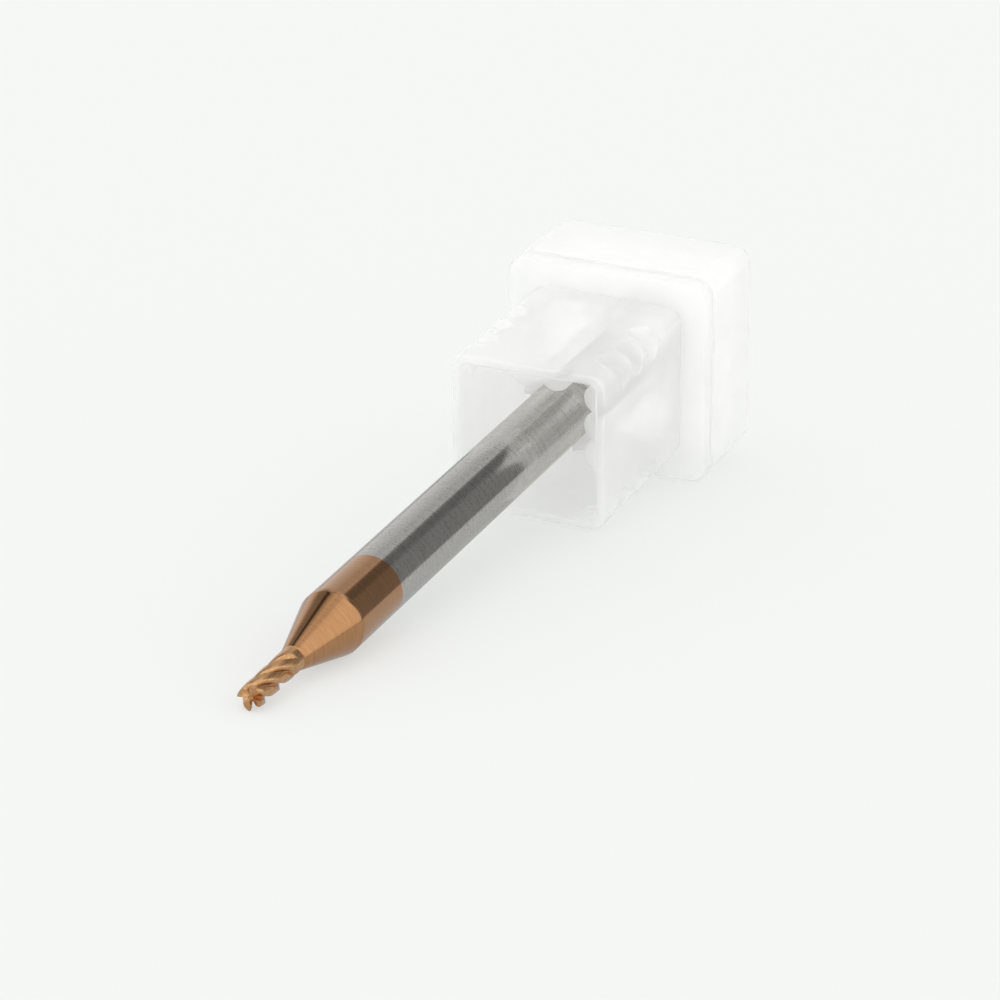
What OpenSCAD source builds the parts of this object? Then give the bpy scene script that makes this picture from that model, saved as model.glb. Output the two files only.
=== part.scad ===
// Four-flute square end mill with a thick shank and a coned neck,
// lying with its rear end held in the holder half of a square plastic tool pack.
// Every piece is drawn along its own axis, +Z, from the cutting tip at 0,
// then laid down so that the tip and the pack rest on z = 0.

/* [Cutter] */
// Diameter over the cutting edges
cutter_d = 1.5; // [1.1:0.05:2.4]
// Number of flutes
flutes = 4; // [2:1:6]
// Length from the tip to the neck cone, run-out of the flutes included
cut_len = 5.1; // [4:0.1:8]
// Stretch over which the flutes fade out
run_out = 1.1; // [0.6:0.1:1.6]
// Plain cylinder left between the run-out and the cone
plain_len = 0.35; // [0.2:0.05:0.8]
// Helix angle of the cutting edges, in degrees
helix_deg = 35; // [20:1:45]
// Diameter of the web left between the flutes
web_d = 0.84; // [0.5:0.02:0.96]
// Diameter of the web where the end gash is ground into the tip
gash_web_d = 0.34; // [0.2:0.02:0.5]
// Length of the end gash
gash_len = 0.55; // [0.3:0.05:0.9]
// Fall of each end tooth from its corner to its heel
end_relief = 0.16; // [0.04:0.02:0.3]
// Radial fall of the land behind the cutting edge
land_relief = 0.05; // [0.01:0.01:0.1]
// Part of the tooth spacing that the land takes
land_share = 0.3; // [0.15:0.01:0.45]

/* [Neck and shank] */
// Half angle of the neck cone, in degrees
cone_deg = 15; // [10:1:30]
// Diameter of the shank
shank_d = 4; // [3.2:0.1:4.8]
// Length of shank that the coating covers
coated_len = 5.1; // [2:0.1:9]
// Overall length of the tool
tool_len = 50; // [40:0.5:60]
// Chamfer at the rear end
rear_chamfer = 0.4; // [0.1:0.05:0.8]

/* [Holder] */
// Depth that the shank stands in the holder
insert_len = 13.6; // [11:0.1:17]
// Outer width of the square sleeve
sleeve_w = 10.15; // [8.4:0.05:12.4]
// Length of the sleeve in front of the foot
sleeve_len = 12; // [10.6:0.1:14.4]
// Wall of the sleeve
sleeve_wall = 0.6; // [0.5:0.05:1]
// Outer corner radius of the sleeve
sleeve_corner = 1; // [0.5:0.1:1.6]
// Inner corner radius at the mouth of the sleeve
mouth_corner = 0.5; // [0.3:0.1:1]
// Length of the mouth in front of the thick ratchet corners
mouth_len = 1.5; // [1:0.1:1.8]
// Inner corner radius behind the mouth, large so that the notched corners stay thick
inner_corner = 1.9; // [1.6:0.1:2.4]
// Width of the square foot
foot_w = 13.5; // [11.2:0.1:16.2]
// Length of the foot
foot_len = 8; // [6.6:0.1:9.6]
// Wall of the foot
foot_wall = 1; // [0.8:0.05:1.4]
// Corner radius of the foot
foot_corner = 1.2; // [0.8:0.1:2.4]

/* [Holder details] */
// Number of ratchet notches in each corner of the sleeve
notches = 3; // [1:1:4]
// Distance from the mouth to the first notch
notch_first = 2.9; // [2:0.1:4]
// Spacing of the notches
notch_pitch = 2.3; // [2.1:0.1:2.6]
// Radius of the round notch
notch_r = 0.95; // [0.5:0.05:1]
// Depth of the notch, measured across the corner
notch_depth = 0.85; // [0.4:0.05:1]
// Radius of the half-round ribs inside the sleeve
rib_r = 1.05; // [0.6:0.05:1.2]
// How far a rib stands out of its wall
rib_out = 0.9; // [0.4:0.05:1]
// Distance from the inner corner to the first rib
rib_first = 0.95; // [0.8:0.05:1.2]
// Spacing of the ribs
rib_pitch = 1.85; // [1.6:0.05:2]
// Distance that the ribs start behind the mouth
rib_setback = 0.4; // [0:0.1:1]
// Number of grip grooves around the foot
grooves = 1; // [1:1:2]
// Distance from the front of the foot to the first groove
groove_first = 1.2; // [0.8:0.1:1.6]
// Spacing of the grooves
groove_pitch = 2; // [1.6:0.1:2.4]
// Width of a groove
groove_w = 0.5; // [0.3:0.1:1.2]
// Depth of a groove
groove_depth = 0.25; // [0.1:0.05:0.4]

/* [Grip] */
// Running clearance between the shank and the grip, on the radius
grip_gap = 0.03; // [0.02:0.01:0.08]
// Wall of the grip fingers
grip_wall = 0.9; // [0.6:0.1:1.1]
// Distance from the mouth to the front of the grip
grip_at = 5.9; // [5:0.1:8]
// Clearance between the grip and the ribs of the sleeve
rib_gap = 0.3; // [0.1:0.05:0.5]
// Width of the slots between the grip fingers
slot_w = 0.8; // [0.4:0.1:1.2]

/* [Hidden] */
$fn = 96;

cutter_r = cutter_d / 2;
shank_r = shank_d / 2;
cone_len = (shank_r - cutter_r) / tan(cone_deg);
cone_end = cut_len + cone_len;
coat_end = cone_end + coated_len;
mouth_at = tool_len - insert_len;
sleeve_end = mouth_at + sleeve_len;
foot_end = sleeve_end + foot_len;
sleeve_in = sleeve_w - 2 * sleeve_wall;
foot_in = foot_w - 2 * foot_wall;
grip_front = mouth_at + grip_at;
grip_back = foot_end - foot_wall;
grip_in_r = shank_r + grip_gap;
grip_out_r = grip_in_r + grip_wall;

// The tool leans on its tip and on whichever lower edge of the holder is met first.
mouth_lean = atan((sleeve_w - cutter_d) / 2 / mouth_at);
foot_lean = atan((foot_w - cutter_d) / 2 / sleeve_end);
tilt = max(mouth_lean, foot_lean);
lift = cutter_r * cos(tilt);
reach = foot_end * cos(tilt) + (foot_w - cutter_d) / 2 * sin(tilt);

// Lays a piece down: its +Z runs to the rear along +X, its -X faces up.
module lie() {
    translate([-reach / 2, 0, lift]) rotate([0, 90 - tilt, 0]) children();
}

// ---- Flutes: rings of points, each turned further along the helix ----
land_steps = 4;
gullet_steps = 11;
tooth_steps = land_steps + gullet_steps;
rake_foot = 0.965;
ring_points = flutes * tooth_steps;
ring_rows = 44;
gash_rows = 7;
fade_end = cut_len - plain_len;
fade_start = fade_end - run_out;
lead = PI * cutter_d / tan(helix_deg);

// Share of the tooth spacing at each point of one tooth, from the cutting edge back.
function phase(i) =
    i < land_steps ? land_share * i / (land_steps - 1)
                   : land_share + (rake_foot - land_share) * (i - land_steps + 1) / gullet_steps;
// Hollow of the gullet from the heel, 0, to the foot of the next rake face, 1.
function hollow(q) = sin(90 * min(1, q / 0.62));
function smooth(x) = let (t = max(0, min(1, x))) t * t * (3 - 2 * t);
// How much of the full gullet is left at height z.
function fade(z) = 1 - smooth((z - fade_start) / run_out);
function web_r(z) = let (g = 1 - smooth(z / gash_len))
    (web_d / 2) * (1 - g) + (gash_web_d / 2) * g;
function tooth_r(p, z) =
    p <= land_share
        ? cutter_r - land_relief * fade(z) * p / land_share
        : let (top = cutter_r - land_relief * fade(z),
               q = (p - land_share) / (rake_foot - land_share))
          top - (top - web_r(z)) * fade(z) * hollow(q);
function row_z(j) =
    j <= gash_rows ? gash_len * j / gash_rows
                   : gash_len + (cut_len - gash_len) * (j - gash_rows) / (ring_rows - gash_rows);
// The end face falls away behind each corner, less and less up the first rows.
function end_fall(p, z) = end_relief * min(1, p / 0.7) * (1 - smooth(z / gash_len));
function ring_point(i, j) =
    let (t = floor(i / tooth_steps), p = phase(i % tooth_steps), z = row_z(j),
         a = 360 * ((t + p) / flutes + z / lead), r = tooth_r(p, z))
    [r * cos(a), r * sin(a), z + end_fall(p, z)];

module flute_section() {
    last = ring_rows * ring_points;
    tip_centre = last + ring_points;
    back_centre = tip_centre + 1;
    points = concat(
        [for (j = [0:ring_rows]) for (i = [0:ring_points - 1]) ring_point(i, j)],
        [[0, 0, end_relief * 1.5], [0, 0, cut_len]]);
    sides = [for (j = [0:ring_rows - 1]) for (i = [0:ring_points - 1])
        let (n = (i + 1) % ring_points, a = j * ring_points, b = a + ring_points)
        each [[a + i, b + i, a + n], [a + n, b + i, b + n]]];
    tip_fan = [for (i = [0:ring_points - 1]) [tip_centre, i, (i + 1) % ring_points]];
    back_fan = [for (i = [0:ring_points - 1])
        [back_centre, last + (i + 1) % ring_points, last + i]];
    color("peru") lie() polyhedron(points, concat(sides, tip_fan, back_fan));
}

// ---- Neck and shank ----
module neck_cone() {
    color("sandybrown") lie() translate([0, 0, cut_len])
        cylinder(h = cone_len, r1 = cutter_r, r2 = shank_r);
}

module coated_band() {
    color("sienna") lie() translate([0, 0, cone_end])
        cylinder(h = coated_len, r = shank_r);
}

module bare_shank() {
    color("dimgray") lie() {
        translate([0, 0, coat_end])
            cylinder(h = tool_len - coat_end - rear_chamfer, r = shank_r);
        translate([0, 0, tool_len - rear_chamfer])
            cylinder(h = rear_chamfer, r1 = shank_r, r2 = shank_r - rear_chamfer);
    }
}

// ---- Holder ----
module rounded_square(side, radius) {
    square([side - 2 * radius, side], center = true);
    square([side, side - 2 * radius], center = true);
    for (sx = [-1, 1]) for (sy = [-1, 1])
        translate([sx * (side / 2 - radius), sy * (side / 2 - radius)])
            circle(r = radius, $fn = 32);
}

// One round notch across each corner, its axis square to the corner's diagonal.
module notch_ring() {
    corner_out = (sleeve_w / 2 - sleeve_corner) * sqrt(2) + sleeve_corner;
    for (turn = [45:90:315])
        rotate([0, 0, turn])
            translate([corner_out - notch_depth + notch_r, 0, 0])
                rotate([90, 0, 0])
                    cylinder(h = sleeve_w, r = notch_r, center = true, $fn = 32);
}

// Half-round rib that stands out of a wall of the sleeve.
module rib(wall_turn, along) {
    rotate([0, 0, wall_turn])
        translate([sleeve_in / 2 + rib_r - rib_out, along, rib_setback])
            cylinder(h = sleeve_len - rib_setback, r = rib_r, $fn = 32);
}

module wall_ribs() {
    start = sleeve_in / 2 - rib_first;
    intersection() {
        union() {
            for (i = [0:2]) rib(-90, -(start - i * rib_pitch));
            for (i = [1:2]) rib(180, start - i * rib_pitch);
        }
        translate([0, 0, rib_setback])
            linear_extrude(sleeve_len - rib_setback)
                rounded_square(sleeve_in + sleeve_wall, mouth_corner);
    }
}

module sleeve_shell() {
    difference() {
        linear_extrude(sleeve_len) rounded_square(sleeve_w, sleeve_corner);
        translate([0, 0, -1])
            linear_extrude(mouth_len + 1) rounded_square(sleeve_in, mouth_corner);
        translate([0, 0, mouth_len / 2])
            linear_extrude(sleeve_len) rounded_square(sleeve_in, inner_corner);
    }
}

module holder_sleeve() {
    color("gainsboro", 0.5) lie() translate([0, 0, mouth_at]) difference() {
        union() {
            sleeve_shell();
            difference() {
                wall_ribs();
                translate([0, 0, grip_at - rib_gap])
                    cylinder(h = sleeve_len, r = grip_out_r + rib_gap);
            }
        }
        for (i = [0:notches - 1])
            translate([0, 0, notch_first + i * notch_pitch]) notch_ring();
    }
}

module holder_foot() {
    color("whitesmoke", 0.5) lie() translate([0, 0, sleeve_end]) difference() {
        linear_extrude(foot_len) rounded_square(foot_w, foot_corner);
        translate([0, 0, foot_wall])
            linear_extrude(foot_len - 2 * foot_wall)
                rounded_square(foot_in, foot_corner - foot_wall / 2);
        translate([0, 0, -1])
            linear_extrude(foot_wall + 2) rounded_square(sleeve_in, inner_corner);
        for (i = [0:grooves - 1])
            translate([0, 0, groove_first + i * groove_pitch])
                linear_extrude(groove_w) difference() {
                    square(foot_w + 2, center = true);
                    rounded_square(foot_w - 2 * groove_depth, foot_corner);
                }
    }
}

// Slotted tube that springs onto the shank, standing on the rear wall of the foot.
module grip_fingers() {
    color("white", 0.6) lie() difference() {
        translate([0, 0, grip_front])
            cylinder(h = grip_back - grip_front, r = grip_out_r);
        translate([0, 0, grip_front - 1])
            cylinder(h = grip_back - grip_front + 2, r = grip_in_r);
        for (turn = [0, 90])
            rotate([0, 0, turn])
                translate([-shank_d, -slot_w / 2, grip_front - 1])
                    cube([2 * shank_d, slot_w, grip_back - grip_front - 1]);
    }
}

flute_section();
neck_cone();
coated_band();
bare_shank();
holder_sleeve();
holder_foot();
grip_fingers();
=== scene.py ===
import math

import bmesh
import bpy
from mathutils import Matrix, Vector


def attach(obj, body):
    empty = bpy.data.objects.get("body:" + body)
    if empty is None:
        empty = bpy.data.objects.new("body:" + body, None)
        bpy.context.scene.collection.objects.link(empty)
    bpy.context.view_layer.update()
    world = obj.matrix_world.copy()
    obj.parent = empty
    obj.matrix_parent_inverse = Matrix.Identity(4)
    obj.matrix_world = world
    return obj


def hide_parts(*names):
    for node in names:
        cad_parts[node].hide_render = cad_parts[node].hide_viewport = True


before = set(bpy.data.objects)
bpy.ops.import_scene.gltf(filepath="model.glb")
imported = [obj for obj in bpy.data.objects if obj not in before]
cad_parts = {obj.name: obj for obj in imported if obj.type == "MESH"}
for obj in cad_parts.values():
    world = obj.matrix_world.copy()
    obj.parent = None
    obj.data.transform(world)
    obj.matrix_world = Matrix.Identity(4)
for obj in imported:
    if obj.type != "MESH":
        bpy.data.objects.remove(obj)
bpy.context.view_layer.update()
MM = 0.001

# ---- Cutting flutes ----
# Four right-hand helical flutes ground into the front of the carbide blank, with
# a gash across the end that leaves four pointed end teeth. They fade out a little
# before the neck, where the blank is left as a short plain cylinder.

# The cutter rests on its tip and on the front lower edge of the holder's foot. Every
# piece is shaped along its own axis, +Z, from the tip at 0, and is then laid down by
# this one matrix, so that its place ends up in its mesh.
tool_length = 50 * MM
shank_in_holder = 13.6 * MM
cutter_radius = 0.75 * MM
sleeve_length = 12 * MM
foot_length = 8 * MM
foot_width = 13.5 * MM
mouth_at = tool_length - shank_in_holder
foot_front = mouth_at + sleeve_length
foot_back = foot_front + foot_length
lean = math.atan((foot_width / 2 - cutter_radius) / foot_front)
reach = foot_back * math.cos(lean) + (foot_width / 2 - cutter_radius) * math.sin(lean)
lift = cutter_radius * math.cos(lean)
upright_to_lying = math.pi / 2 - lean
lay_down = Matrix.Translation((-reach / 2, 0, lift)) @ Matrix.Rotation(upright_to_lying, 4, "Y")

flute_count = 4
cut_length = 5.1 * MM
plain_length = 0.42 * MM
run_out = 1.15 * MM
helix_lead = math.pi * 2 * cutter_radius / math.tan(math.radians(35))
gash_length = 0.6 * MM
gash_deepening = 0.75
thinnest_web = 0.16
tooth_fall = 0.2 * MM
end_dish = 0.05 * MM


def add_node(tree, kind, links=None, **settings):
    """Adds one shader node. Settings with a number or name of a socket are its values."""
    node = tree.nodes.new(kind)
    for key, value in settings.items():
        if key.startswith("in_"):
            name = key[3:]
            socket = node.inputs[int(name) if name.isdigit() else name.replace("_", " ")]
            socket.default_value = value
        else:
            setattr(node, key, value)
    for socket, source in (links or {}).items():
        tree.links.new(source, node.inputs[socket])
    return node


def srgb(code, alpha=1.0):
    """A hex colour as the linear values that a shader takes."""
    parts = [int(code[i:i + 2], 16) / 255 for i in (1, 3, 5)]
    return tuple(p / 12.92 if p <= 0.04045 else ((p + 0.055) / 1.055) ** 2.4 for p in parts) + (alpha,)


def new_material(name):
    """An empty material with a Principled shader on its output."""
    material = bpy.data.materials.new(name)
    material.use_nodes = True
    tree = material.node_tree
    tree.nodes.clear()
    shader = add_node(tree, "ShaderNodeBsdfPrincipled")
    add_node(tree, "ShaderNodeOutputMaterial", {"Surface": shader.outputs["BSDF"]})
    return material, tree, shader


def axis_coordinates(tree):
    """Object coordinates turned so that Z runs along the tool from its tip."""
    place = add_node(tree, "ShaderNodeTexCoord")
    turn = add_node(tree, "ShaderNodeMapping", {"Vector": place.outputs["Object"]}, vector_type="TEXTURE")
    turn.inputs["Location"].default_value = (-reach / 2, 0, lift)
    turn.inputs["Rotation"].default_value = (0, upright_to_lying, 0)
    return turn


def finish_piece(name, bm, body, nodes, material, sharp=35):
    """Makes a bmesh into a piece that rides on a body and stands for CAD nodes."""
    bmesh.ops.remove_doubles(bm, verts=bm.verts, dist=1e-7)
    bmesh.ops.recalc_face_normals(bm, faces=bm.faces)
    bmesh.ops.transform(bm, matrix=lay_down, verts=bm.verts)
    mesh = bpy.data.meshes.new(name)
    bm.to_mesh(mesh)
    bm.free()
    mesh.shade_smooth()
    mesh.set_sharp_from_angle(angle=math.radians(sharp))
    mesh.materials.append(material)
    piece = bpy.data.objects.new(name, mesh)
    bpy.context.scene.collection.objects.link(piece)
    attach(piece, body)
    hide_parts(*nodes)
    return piece


def ease(x):
    """0 to 1 with a soft start and end."""
    x = max(0.0, min(1.0, x))
    return x * x * (3 - 2 * x)


# Share of the tooth spacing and radius, in cutter radii, from one cutting edge to the next.
tooth_outline = [
    (0.00, 1.000), (0.06, 0.996), (0.12, 0.991), (0.18, 0.985), (0.24, 0.979), (0.30, 0.972),
    (0.36, 0.963), (0.42, 0.951), (0.475, 0.936), (0.525, 0.914), (0.57, 0.880), (0.61, 0.828),
    (0.645, 0.762), (0.68, 0.690), (0.71, 0.628), (0.74, 0.582), (0.775, 0.555), (0.81, 0.552),
    (0.845, 0.582), (0.88, 0.650), (0.91, 0.735), (0.935, 0.820), (0.96, 0.908), (0.985, 0.980),
]
rows = 150
flutes = bmesh.new()
points_round = flute_count * len(tooth_outline)
ring = bmesh.ops.create_circle(flutes, cap_ends=False, radius=cutter_radius, segments=points_round)["verts"]
for i, vert in enumerate(ring):
    share, size = tooth_outline[i % len(tooth_outline)]
    turn = 2 * math.pi * (i // len(tooth_outline) + share) / flute_count
    vert.co = (size * cutter_radius * math.cos(turn), size * cutter_radius * math.sin(turn), 0)
bmesh.ops.spin(
    flutes, geom=flutes.verts[:] + flutes.edges[:], cent=(0, 0, 0), axis=(0, 0, 1),
    dvec=(0, 0, cut_length / rows), angle=2 * math.pi * cut_length / helix_lead, steps=rows,
    use_merge=False, use_duplicate=False,
)
fade_end = cut_length - plain_length
for vert in flutes.verts:
    x, y, z = vert.co
    radius = math.hypot(x, y)
    hollow = 1 - radius / cutter_radius
    fade = 1 - ease((z - fade_end + run_out) / run_out)
    gash = 1 - ease(z / gash_length)
    hollow *= fade * (1 + gash_deepening * gash)
    size = cutter_radius * max(thinnest_web, 1 - hollow) / radius
    vert.co = (x * size, y * size, z)
# The end face falls away behind each corner, and dishes in towards the middle.
tip_edges = [e for e in flutes.edges if all(v.co.z < 1e-7 for v in e.verts)]
for share in (0.72, 0.45, 0.2):
    grown = bmesh.ops.extrude_edge_only(flutes, edges=tip_edges)["geom"]
    inner = [g for g in grown if isinstance(g, bmesh.types.BMVert)]
    tip_edges = [g for g in grown if isinstance(g, bmesh.types.BMEdge) and all(v in inner for v in g.verts)]
    for v in inner:
        r = math.hypot(v.co.x, v.co.y)
        target = min(r, cutter_radius * share * 0.98)
        v.co = (v.co.x * target / r, v.co.y * target / r, 0)
for v in flutes.verts:
    if v.co.z < gash_length:
        r = math.hypot(v.co.x, v.co.y)
        near = 1 - ease(v.co.z / gash_length)
        turn = math.atan2(v.co.y, v.co.x) - 2 * math.pi * v.co.z / helix_lead
        share = (turn / (2 * math.pi) * flute_count) % 1.0
        fall = tooth_fall * min(1, share / 0.7) * min(1, (1 - share) / 0.06) ** 0.5
        dish = end_dish * (1 - r / cutter_radius)
        v.co.z += near * (fall + dish)
bmesh.ops.holes_fill(flutes, edges=flutes.edges[:], sides=0)

# Tungsten carbide, ground, then given a thin copper-brown hard coating. The coating
# keeps the metal's shine; each ground face shows fine parallel wheel marks.
coated_flute, tree, shader = new_material("coated_carbide_flutes")
where = axis_coordinates(tree)
marks = add_node(tree, "ShaderNodeMapping", {"Vector": where.outputs[0]}, in_Scale=(9000, 9000, 2500))
grind = add_node(tree, "ShaderNodeTexNoise", {"Vector": marks.outputs[0]}, in_Scale=1.0, in_Detail=3.0)
tint = add_node(tree, "ShaderNodeValToRGB", {"Fac": grind.outputs[0]})
tint.color_ramp.elements[0].position = 0.3
tint.color_ramp.elements[0].color = srgb("#C8925E")
tint.color_ramp.elements[1].position = 0.72
tint.color_ramp.elements[1].color = srgb("#E6B682")
tree.links.new(tint.outputs[0], shader.inputs["Base Color"])
relief = add_node(
    tree, "ShaderNodeBump", {"Height": grind.outputs[0]},
    in_Strength=0.15, in_Distance=0.00002,
)
tree.links.new(relief.outputs[0], shader.inputs["Normal"])
shader.inputs["Metallic"].default_value = 1.0
shader.inputs["Roughness"].default_value = 0.26
shader.inputs["Coat Weight"].default_value = 0.5
shader.inputs["Coat Roughness"].default_value = 0.1
finish_piece("cutting_flutes", flutes, "tool", ["flute_section"], coated_flute, sharp=32)


# ---- Neck cone ----
# The same ground blank opens out to the shank in a straight cone. A fine groove
# marks where the cutter's grind meets the cone, and a bright rounded edge marks
# where the cone meets the shank.
shank_radius = 2 * MM
cone_slope = math.tan(math.radians(15))
neck_length = (shank_radius - cutter_radius) / cone_slope
neck_end = cut_length + neck_length


def lathe(profile, steps=160):
    """A closed round solid from (radius, height) points that start and end on the axis."""
    bm = bmesh.new()
    verts = [bm.verts.new((r, 0, z)) for r, z in profile]
    edges = [bm.edges.new(pair) for pair in zip(verts, verts[1:])]
    bmesh.ops.spin(
        bm, geom=verts + edges, cent=(0, 0, 0), axis=(0, 0, 1), dvec=(0, 0, 0),
        angle=2 * math.pi, steps=steps, use_merge=True, use_duplicate=False,
    )
    return bm


def cone_radius(z):
    return cutter_radius + (z - cut_length) * cone_slope


groove_radius = cutter_radius - 0.03 * MM
cone_start = cut_length + 0.1 * MM
cone_rings = [cut_length + neck_length * k / 24 for k in range(1, 24)]
neck = lathe(
    [(0, cut_length), (groove_radius, cut_length), (groove_radius, cut_length + 0.06 * MM),
     (cone_radius(cone_start), cone_start)]
    + [(cone_radius(z), z) for z in cone_rings]
    + [(shank_radius - 0.02 * MM, neck_end - 0.05 * MM),
       (shank_radius - 0.004 * MM, neck_end), (0, neck_end)]
)
# Coated carbide again. The wheel ran round the cone, so its marks are rings that
# wander a little, closest together at the wide end.
coated_neck, tree, shader = new_material("coated_carbide_neck")
where = axis_coordinates(tree)
marks = add_node(tree, "ShaderNodeMapping", {"Vector": where.outputs[0]}, in_Scale=(700, 700, 7000))
grind = add_node(
    tree, "ShaderNodeTexNoise", {"Vector": marks.outputs[0]},
    in_Scale=1.0, in_Detail=3.0, in_Roughness=0.6,
)
tint = add_node(tree, "ShaderNodeValToRGB", {"Fac": grind.outputs[0]})
tint.color_ramp.elements[0].position = 0.3
tint.color_ramp.elements[0].color = srgb("#BC8656")
tint.color_ramp.elements[1].position = 0.7
tint.color_ramp.elements[1].color = srgb("#CC9664")
tree.links.new(tint.outputs[0], shader.inputs["Base Color"])
relief = add_node(
    tree, "ShaderNodeBump", {"Height": grind.outputs[0]},
    in_Strength=0.12, in_Distance=0.00002,
)
tree.links.new(relief.outputs[0], shader.inputs["Normal"])
shader.inputs["Metallic"].default_value = 1.0
shader.inputs["Roughness"].default_value = 0.14
shader.inputs["Coat Weight"].default_value = 0.6
shader.inputs["Coat Roughness"].default_value = 0.12
finish_piece("neck_grind", neck, "tool", ["neck_cone"], coated_neck, sharp=20)


# ---- Coated band ----
# The first stretch of the cylindrical shank, which the coating also reached.
coated_length = 5.1 * MM
band_end = neck_end + coated_length
band = lathe(
    [(0, neck_end), (shank_radius - 0.012 * MM, neck_end), (shank_radius, neck_end + 0.04 * MM)]
    + [(shank_radius, neck_end + coated_length * k / 10) for k in range(1, 10)]
    + [(shank_radius, band_end), (0, band_end)]
)
# Coated carbide, cylindrically ground: faint rings and small darker flecks.
coated_shank, tree, shader = new_material("coated_carbide_shank")
where = axis_coordinates(tree)
marks = add_node(tree, "ShaderNodeMapping", {"Vector": where.outputs[0]}, in_Scale=(500, 500, 8000))
grind = add_node(
    tree, "ShaderNodeTexNoise", {"Vector": marks.outputs[0]},
    in_Scale=1.0, in_Detail=4.0, in_Roughness=0.65,
)
tint = add_node(tree, "ShaderNodeValToRGB", {"Fac": grind.outputs[0]})
tint.color_ramp.elements[0].position = 0.3
tint.color_ramp.elements[0].color = srgb("#B88357")
tint.color_ramp.elements[1].position = 0.7
tint.color_ramp.elements[1].color = srgb("#C99668")
tree.links.new(tint.outputs[0], shader.inputs["Base Color"])
relief = add_node(
    tree, "ShaderNodeBump", {"Height": grind.outputs[0]},
    in_Strength=0.12, in_Distance=0.00002,
)
tree.links.new(relief.outputs[0], shader.inputs["Normal"])
shader.inputs["Metallic"].default_value = 1.0
shader.inputs["Roughness"].default_value = 0.14
shader.inputs["Coat Weight"].default_value = 0.6
shader.inputs["Coat Roughness"].default_value = 0.12
finish_piece("coated_shank_band", band, "tool", ["coated_band"], coated_shank, sharp=30)


# ---- Bare shank ----
# The rest of the shank, left uncoated so that a collet grips ground carbide. It
# runs back into the holder and ends in a small chamfer.
chamfer = 0.4 * MM
shank = lathe(
    [(0, band_end), (shank_radius, band_end)]
    + [(shank_radius, band_end + (tool_length - chamfer - band_end) * k / 30) for k in range(1, 31)]
    + [(shank_radius - chamfer, tool_length), (0, tool_length)]
)
# Bare tungsten carbide, centreless ground: a grey, slightly warm metal with a fine
# mottle of grain and faint wheel rings, drawn coarse enough to show.
bare_carbide, tree, shader = new_material("ground_carbide")
where = axis_coordinates(tree)
marks = add_node(tree, "ShaderNodeMapping", {"Vector": where.outputs[0]}, in_Scale=(500, 500, 8000))
rings = add_node(
    tree, "ShaderNodeTexNoise", {"Vector": marks.outputs[0]},
    in_Scale=1.0, in_Detail=3.0, in_Roughness=0.6,
)
grain = add_node(tree, "ShaderNodeTexNoise", {"Vector": where.outputs[0]}, in_Scale=9000.0, in_Detail=2.0)
both = add_node(tree, "ShaderNodeMath", {0: rings.outputs[0], 1: grain.outputs[0]}, operation="ADD")
tint = add_node(tree, "ShaderNodeValToRGB", {"Fac": both.outputs[0]})
tint.color_ramp.elements[0].position = 0.75
tint.color_ramp.elements[0].color = srgb("#B2AFA9")
tint.color_ramp.elements[1].position = 1.0
tint.color_ramp.elements[1].color = srgb("#CDCBC7")
tree.links.new(tint.outputs[0], shader.inputs["Base Color"])
relief = add_node(
    tree, "ShaderNodeBump", {"Height": both.outputs[0]},
    in_Strength=0.12, in_Distance=0.00002,
)
tree.links.new(relief.outputs[0], shader.inputs["Normal"])
shader.inputs["Metallic"].default_value = 1.0
shader.inputs["Roughness"].default_value = 0.16
finish_piece("ground_shank", shank, "tool", ["bare_shank"], bare_carbide, sharp=30)


# ---- Holder sleeve ----
# The square front of the pack's holder half, moulded in milky polypropylene. Round
# ratchet notches cross its four long corners, and half-round ribs run along the
# inside of two walls.
sleeve_width = 10.15 * MM
sleeve_wall = 0.6 * MM
sleeve_corner = 1.0 * MM
mouth_corner = 0.5 * MM
mouth_length = 1.5 * MM
inner_corner = 1.9 * MM
notch_places = [2.9 * MM + k * 2.3 * MM for k in range(3)]
notch_radius = 0.95 * MM
notch_depth = 0.85 * MM
rib_radius = 1.05 * MM
rib_height = 0.9 * MM
rib_first = 0.95 * MM
rib_pitch = 1.85 * MM
rib_setback = 0.4 * MM


def square_outline(side, radius, arc_steps, flat_steps):
    """(point, outward direction) round a square with rounded corners, from its +X side on."""
    points = []
    half = side / 2 - radius
    for quarter in range(4):
        turn = Matrix.Rotation(quarter * math.pi / 2, 2)
        for k in range(flat_steps):
            y = -half + 2 * half * k / flat_steps
            points.append((turn @ Vector((side / 2, y)), turn @ Vector((1, 0))))
        for k in range(arc_steps):
            a = math.pi / 2 * k / arc_steps
            way = Vector((math.cos(a), math.sin(a)))
            points.append((turn @ (Vector((half, half)) + radius * way), turn @ way))
    return points


def wall(bm, levels):
    """Extrudes an outline through (height, inset, outline) levels. Returns the rings of edges at its ends."""
    height, inset, outline = levels[0]
    order = [bm.verts.new((p.x - d.x * inset, p.y - d.y * inset, height)) for p, d in outline]
    first = edges = [bm.edges.new((order[i - 1], order[i])) for i in range(len(order))]
    for height, inset, outline in levels[1:]:
        made = bmesh.ops.extrude_edge_only(bm, edges=edges)["geom"]
        fresh = {g for g in made if isinstance(g, bmesh.types.BMVert)}
        partner = {e.other_vert(v): v for v in fresh for e in v.link_edges}
        order = [partner[v] for v in order]
        for v, (p, d) in zip(order, outline):
            v.co = (p.x - d.x * inset, p.y - d.y * inset, height)
        edges = [g for g in made if isinstance(g, bmesh.types.BMEdge) and all(v in fresh for v in g.verts)]
    return first, edges


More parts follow.
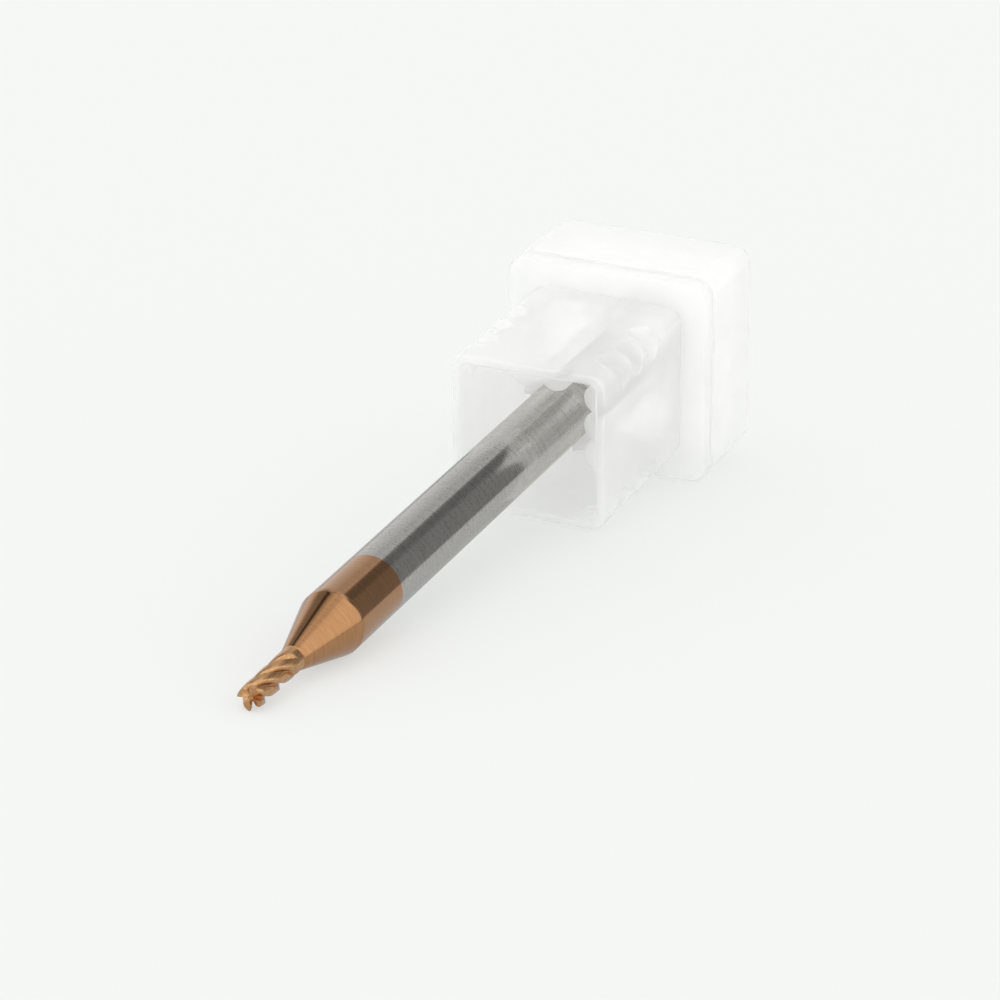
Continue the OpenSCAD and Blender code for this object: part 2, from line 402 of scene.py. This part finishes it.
def ribbed(outline, side):
    """The inner outline with half-round ribs on its -Y and -X walls."""
    centre_out = side / 2 + rib_radius - rib_height
    middles = [Vector((-(side / 2 - rib_first - k * rib_pitch), -centre_out)) for k in range(3)]
    middles += [Vector((-centre_out, -(side / 2 - rib_first - k * rib_pitch))) for k in (1, 2)]
    changed = []
    for p, d in outline:
        q = p.copy()
        for middle in middles:
            across = (q - middle).dot(Vector((-d.y, d.x))) if abs(d.x) + abs(d.y) < 1.001 else 9
            if abs(across) < rib_radius and (q - middle).length < rib_radius + 1e-9:
                q = q - d * (math.sqrt(rib_radius ** 2 - across ** 2) - (q - middle).dot(-d))
        changed.append((q, d))
    return changed


sleeve = bmesh.new()
ring_gap = 0.08 * MM
fine = [ring_gap * k for k in range(3, int(sleeve_length / ring_gap) - 2)]
outside = square_outline(sleeve_width, sleeve_corner, 14, 90)
rim = 0.16 * MM
levels = [(0, rim), (0.03 * MM, 0.08 * MM), (0.08 * MM, 0.03 * MM), (rim, 0)]
levels += [(z, 0) for z in fine] + [(sleeve_length, 0)]
front_out, back_out = wall(sleeve, [(z + mouth_at, inset, outside) for z, inset in levels])
# The notches: wherever the skin stands inside a round cutter laid across the corner,
# it is pushed in along the corner's diagonal to the cutter's surface.
corner_out = (sleeve_width / 2 - sleeve_corner) * math.sqrt(2) + sleeve_corner
for v in sleeve.verts:
    for place in notch_places:
        along = v.co.z - mouth_at - place
        if abs(along) < notch_radius:
            limit = corner_out - notch_depth + notch_radius - math.sqrt(notch_radius ** 2 - along ** 2)
            out = (abs(v.co.x) + abs(v.co.y)) / math.sqrt(2)
            if out > limit:
                step = (out - limit) / math.sqrt(2)
                v.co.x -= math.copysign(step, v.co.x)
                v.co.y -= math.copysign(step, v.co.y)
inner_side = sleeve_width - 2 * sleeve_wall
mouth = square_outline(inner_side, mouth_corner, 10, 130)
ribbed_mouth = ribbed(mouth, inner_side)
ribbed_inside = ribbed(square_outline(inner_side, inner_corner, 10, 130), inner_side)
levels = [(0, -0.1 * MM, mouth), (0.04 * MM, -0.04 * MM, mouth), (0.1 * MM, 0, mouth), (rib_setback, 0, mouth),
          (rib_setback + 0.02 * MM, 0, ribbed_mouth), (mouth_length, 0, ribbed_mouth),
          (mouth_length + 0.05 * MM, 0, ribbed_inside)]
levels += [(z * MM, 0, ribbed_inside) for z in range(2, 12)] + [(sleeve_length, 0, ribbed_inside)]
levels = [(z + mouth_at, inset, outline) for z, inset, outline in levels]
front_in, back_in = wall(sleeve, levels)
bmesh.ops.triangle_fill(sleeve, edges=front_out + front_in, use_beauty=True)
bmesh.ops.triangle_fill(sleeve, edges=back_out + back_in, use_beauty=True)

# Polypropylene, injection moulded: milky white, lets a blurred shade of what is
# behind it through, and has the soft sheen of a lightly worn mould.
milky, tree, shader = new_material("milky_polypropylene")
place = add_node(tree, "ShaderNodeTexCoord")
cloud = add_node(
    tree, "ShaderNodeTexNoise", {"Vector": place.outputs["Object"]},
    in_Scale=350.0, in_Detail=2.0,
)
tint = add_node(tree, "ShaderNodeValToRGB", {"Fac": cloud.outputs[0]})
tint.color_ramp.elements[0].position = 0.3
tint.color_ramp.elements[0].color = srgb("#F7F7F5")
tint.color_ramp.elements[1].position = 0.7
tint.color_ramp.elements[1].color = srgb("#FCFCFA")
tree.links.new(tint.outputs[0], shader.inputs["Base Color"])
pits = add_node(
    tree, "ShaderNodeTexNoise", {"Vector": place.outputs["Object"]},
    in_Scale=4500.0, in_Detail=2.0,
)
relief = add_node(
    tree, "ShaderNodeBump", {"Height": pits.outputs[0]},
    in_Strength=0.1, in_Distance=0.00002,
)
tree.links.new(relief.outputs[0], shader.inputs["Normal"])
shader.inputs["Roughness"].default_value = 0.32
shader.inputs["IOR"].default_value = 1.49
shader.inputs["Subsurface Weight"].default_value = 1.0
shader.inputs["Subsurface Radius"].default_value = (1.0, 1.0, 0.95)
shader.inputs["Subsurface Scale"].default_value = 0.003
shader.inputs["Alpha"].default_value = 0.36
# A trace of glow stands for light that scatters on inside the wall after the last bounce.
shader.inputs["Emission Color"].default_value = srgb("#FFFFFD")
shader.inputs["Emission Strength"].default_value = 0.035
finish_piece("holder_sleeve_shell", sleeve, "holder", ["holder_sleeve"], milky, sharp=25)


# ---- Holder foot ----
# The wider square foot, moulded in one with the sleeve. Its edges are rounded, and
# one shallow groove runs all round it for the fingers to pull on.
foot_wall = 1.0 * MM
foot_corner = 1.2 * MM
groove_at = 1.2 * MM
groove_width = 0.5 * MM
groove_depth = 0.25 * MM
groove_edge = 0.06 * MM
back_round = 0.9 * MM
foot = bmesh.new()
outside = square_outline(foot_width, foot_corner, 14, 12)
levels = [(0, 0.3 * MM), (0.09 * MM, 0.09 * MM), (0.3 * MM, 0)]
groove_end = groove_at + groove_width
levels += [(groove_at - groove_edge, 0), (groove_at, 0.05 * MM), (groove_at + groove_edge, groove_depth),
           (groove_end - groove_edge, groove_depth), (groove_end, 0.05 * MM), (groove_end + groove_edge, 0)]
levels += [(foot_length - back_round + back_round * math.sin(a), back_round * (1 - math.cos(a)))
           for a in [math.pi / 2 * k / 8 for k in range(9)]]
front_out, back_out = wall(foot, [(z + foot_front, inset, outside) for z, inset in levels])
opening = square_outline(inner_side, inner_corner, 14, 12)
front_in, throat = wall(foot, [(foot_front, 0, opening), (foot_front + foot_wall, 0, opening)])
cavity = square_outline(foot_width - 2 * foot_wall, foot_corner - foot_wall / 2, 14, 12)
levels = [(foot_front + foot_wall, 0, cavity), (foot_back - foot_wall, 0, cavity)]
cavity_front, cavity_back = wall(foot, levels)
for rings in (front_out + front_in, throat + cavity_front, back_out, cavity_back):
    bmesh.ops.triangle_fill(foot, edges=rings, use_beauty=True)
finish_piece("holder_foot_shell", foot, "holder", ["holder_foot"], milky, sharp=40)


# ---- Grip fingers ----
# A tube moulded on the foot's rear wall and slotted into four fingers, which spring
# onto the shank. Its shape is the design's own, merged into clean faces, in the
# same milky polypropylene as the rest of the holder.
fingers = bmesh.new()
fingers.from_mesh(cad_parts["grip_fingers"].data)
bmesh.ops.transform(fingers, matrix=lay_down.inverted(), verts=fingers.verts)
bmesh.ops.remove_doubles(fingers, verts=fingers.verts, dist=1e-6)
bmesh.ops.dissolve_limit(fingers, angle_limit=math.radians(0.5), verts=fingers.verts, edges=fingers.edges)
finish_piece("holder_grip", fingers, "holder", ["grip_fingers"], milky, sharp=35)


# ---- Floor ----
# A plain pale sheet of acrylic that the tool lies on, lit softly from below.
sheet = bmesh.new()
bmesh.ops.create_grid(sheet, x_segments=1, y_segments=1, size=3.0)
floor_mesh = bpy.data.meshes.new("floor")
sheet.to_mesh(floor_mesh)
sheet.free()
floor = bpy.data.objects.new("floor", floor_mesh)
bpy.context.scene.collection.objects.link(floor)
acrylic, tree, shader = new_material("lit_acrylic")
# Reflections show the sheet dimmer than the eye sees it, and dark far off. No real sheet
# does that: it shades the metal's lower flank and gives it its dark streak.
place = add_node(tree, "ShaderNodeTexCoord")
away = add_node(tree, "ShaderNodeVectorMath", {0: place.outputs["Object"]}, operation="LENGTH")
dim = add_node(tree, "ShaderNodeMapRange", {"Value": away.outputs["Value"]}, interpolation_type="SMOOTHSTEP")
dim.inputs["From Min"].default_value = 0.06
dim.inputs["From Max"].default_value = 0.14
dim.inputs["To Min"].default_value = 0.65
dim.inputs["To Max"].default_value = 0.16
path = add_node(tree, "ShaderNodeLightPath")
shade = add_node(
    tree, "ShaderNodeMix",
    {"Factor": path.outputs["Is Glossy Ray"], "B": dim.outputs[0]}, data_type="FLOAT",
)
shade.inputs["A"].default_value = 1.0
green_cast = 0.985
for colour, share in (("Base Color", 0.325), ("Emission Color", 0.54)):
    shown = add_node(tree, "ShaderNodeVectorMath", {"Scale": shade.outputs[0]}, operation="SCALE")
    shown.inputs[0].default_value = (share * green_cast, share, share * green_cast)
    tree.links.new(shown.outputs[0], shader.inputs[colour])
shader.inputs["Emission Strength"].default_value = 1.0
shader.inputs["Roughness"].default_value = 0.9
shader.inputs["Specular IOR Level"].default_value = 0.1
floor_mesh.materials.append(acrylic)


# ---- Light ----
# A soft white tent: open and bright overhead and on both sides, with a dim gap
# behind the tool on the right, which is the dark streak along the polished metal.
world = bpy.data.worlds.new("studio")
bpy.context.scene.world = world
world.use_nodes = True
tree = world.node_tree
tree.nodes.clear()
way = add_node(tree, "ShaderNodeTexCoord")
split = add_node(tree, "ShaderNodeSeparateXYZ", {0: way.outputs["Generated"]})
compass = add_node(tree, "ShaderNodeMath", {0: split.outputs[1], 1: split.outputs[0]}, operation="ARCTAN2")
height = add_node(tree, "ShaderNodeMath", {0: split.outputs[2]}, operation="ARCSINE")


def window(source, low, high, soft):
    """1 between two angles in degrees and 0 outside, with soft edges."""
    up = add_node(tree, "ShaderNodeMapRange", {"Value": source}, interpolation_type="SMOOTHSTEP")
    up.inputs["From Min"].default_value = math.radians(low - soft)
    up.inputs["From Max"].default_value = math.radians(low + soft)
    down = add_node(tree, "ShaderNodeMapRange", {"Value": source}, interpolation_type="SMOOTHSTEP")
    down.inputs["From Min"].default_value = math.radians(high - soft)
    down.inputs["From Max"].default_value = math.radians(high + soft)
    down.inputs["To Min"].default_value = 1.0
    down.inputs["To Max"].default_value = 0.0
    both = add_node(tree, "ShaderNodeMath", {0: up.outputs[0], 1: down.outputs[0]}, operation="MULTIPLY")
    return both.outputs[0]


brightness = add_node(tree, "ShaderNodeValue")
brightness.outputs[0].default_value = 0.95
total = brightness.outputs[0]
# (from, to, softness) round the compass, then in height, in degrees, and the change in brightness.
for around, above, change in (
    ((0, 62, 1.5), (-10, 60, 6), -0.33),
    ((4, 24, 4), (34, 46, 4), -0.10),
    ((32, 62, 6), (-10, 30, 6), 0.12),
    ((-50, 0, 1.5), (-10, 52, 5), -0.72),
    ((-26, -3, 3), (33, 51, 4), -0.08),
    ((-100, -52, 3), (8, 62, 5), 0.08),
    ((22, 66, 4), (52, 72, 5), -0.36),
    ((38, 72, 6), (24, 60, 9), -0.36),
    ((-45, 20, 8), (69, 80, 4), -0.3),
    ((-180, 180, 0.1), (78, 95, 6), 0.2),
):
    across, up = window(compass.outputs[0], *around), window(height.outputs[0], *above)
    patch = add_node(tree, "ShaderNodeMath", {0: across, 1: up}, operation="MULTIPLY")
    scaled = add_node(tree, "ShaderNodeMath", {0: patch.outputs[0]}, operation="MULTIPLY", in_1=change)
    total = add_node(tree, "ShaderNodeMath", {0: total, 1: scaled.outputs[0]}, operation="ADD").outputs[0]
# Matt surfaces get an even light instead, a little brighter from the tent's walls.
path = add_node(tree, "ShaderNodeLightPath")
walls = add_node(tree, "ShaderNodeMapRange", {"Value": split.outputs[2]})
walls.inputs["To Min"].default_value = 1.5
walls.inputs["To Max"].default_value = 0.95
even = add_node(
    tree, "ShaderNodeMix",
    {"Factor": path.outputs["Is Diffuse Ray"], "A": total, "B": walls.outputs[0]}, data_type="FLOAT",
)
sky = add_node(tree, "ShaderNodeBackground", {"Strength": even.outputs[0]})
sky.inputs["Color"].default_value = (1.0, 1.0, 0.995, 1.0)
add_node(tree, "ShaderNodeOutputWorld", {"Surface": sky.outputs[0]})
top_light = bpy.data.lights.new("overhead_softbox", "AREA")
top_light.shape = "RECTANGLE"
top_light.size = 0.7
top_light.size_y = 0.7
top_light.energy = 0.7
top_lamp = bpy.data.objects.new("overhead_softbox", top_light)
top_lamp.location = (-0.05, 0.12, 0.9)
top_lamp.rotation_euler = (Vector((0, 0, 0)) - top_lamp.location).to_track_quat("-Z", "Y").to_euler()
top_lamp.visible_glossy = False
bpy.context.scene.collection.objects.link(top_lamp)
bpy.context.scene.view_settings.view_transform = "Standard"


# ---- Camera ----
# A long lens a quarter of a metre away, low over the cutting end.
eye = Vector((-0.22414, -0.10015, 0.08707))
aim = Vector((-0.00733, -0.00498, 0.00685))
lens = bpy.data.cameras.new("camera")
lens.sensor_width = 36
lens.lens = 157.5
lens.clip_start = 0.01
lens.clip_end = 20
camera = bpy.data.objects.new("camera", lens)
aimed = (aim - eye).to_track_quat("-Z", "Y").to_matrix().to_4x4()
camera_roll = Matrix.Rotation(math.radians(2.58), 4, "Z")
camera.matrix_world = Matrix.Translation(eye) @ aimed @ camera_roll
bpy.context.scene.collection.objects.link(camera)
bpy.context.scene.camera = camera
